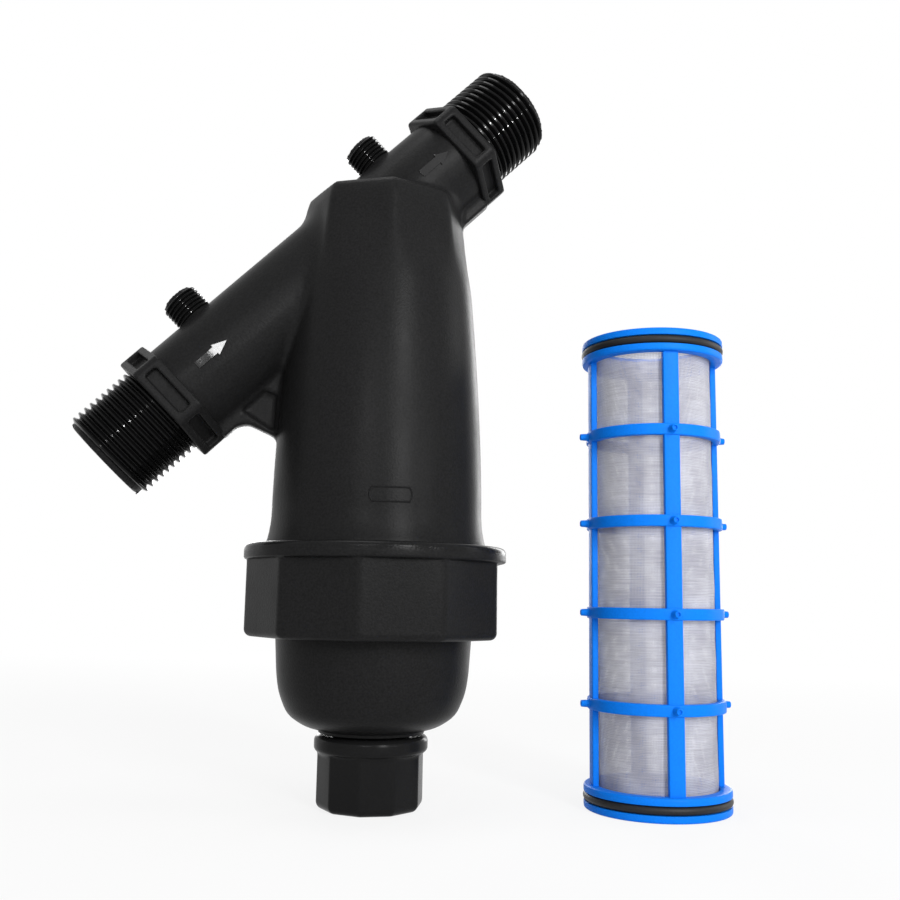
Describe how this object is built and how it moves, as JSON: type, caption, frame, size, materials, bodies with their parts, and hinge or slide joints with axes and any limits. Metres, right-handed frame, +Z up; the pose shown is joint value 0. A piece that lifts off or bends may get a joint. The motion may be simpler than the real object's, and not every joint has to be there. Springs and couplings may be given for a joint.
{
  "type": "screen filter",
  "caption": "Inline screen filter with a threaded angled run, hollow housing, clamp nut, sediment bowl and drain cap, and its mesh cartridge stood beside it.",
  "frame": {"origin": "centre of the drain cap's flat bottom, on which the housing stands", "axes": "+Z up the housing's axis; the threaded run lies in the plane of X and Z and rises towards +X; the cartridge stands on the +X side"},
  "size_m": [0.2192, 0.0864, 0.255],
  "materials": {
    "black_plastic": "fine-grained satin moulding",
    "seal_rubber": "smooth moulded rubber",
    "blue_plastic": "satin moulding",
    "screen_cloth": "fine see-through woven monofilament"
  },
  "bodies": {
    "housing": {"housing_body": "black_plastic", "screen_frame": "blue_plastic", "screen_mesh": "screen_cloth", "upper_screen_oring": "seal_rubber", "lower_screen_oring": "seal_rubber"},
    "bowl": {"sediment_bowl": "black_plastic", "bowl_oring": "seal_rubber"},
    "nut": {"clamp_nut": "black_plastic"},
    "gasket": {"drain_gasket": "seal_rubber"},
    "cap": {"drain_cap": "black_plastic"}
  },
  "joints": [
    {"name": "bowl_lower", "type": "slide", "parent": "housing", "child": "bowl", "axis": [0, 0, -1], "range_m": [0, 0.01501]},
    {"name": "nut_turn", "type": "hinge", "parent": "bowl", "child": "nut", "pos_m": [0, 0, 0.07], "axis": [0, 0, -1], "range_deg": [0, 1080]},
    {"name": "gasket_lower", "type": "slide", "parent": "bowl", "child": "gasket", "axis": [0, 0, -1], "range_m": [0, 0.00908]},
    {"name": "cap_turn", "type": "hinge", "parent": "gasket", "child": "cap", "pos_m": [0, 0, 0.01], "axis": [0, 0, -1], "range_deg": [0, 1800]}
  ],
  "couplings": [
    {"joint": "bowl_lower", "follows": "nut_turn", "m_per_rad": 0.00079577},
    {"joint": "gasket_lower", "follows": "cap_turn", "m_per_rad": 0.00028871}
  ]
}
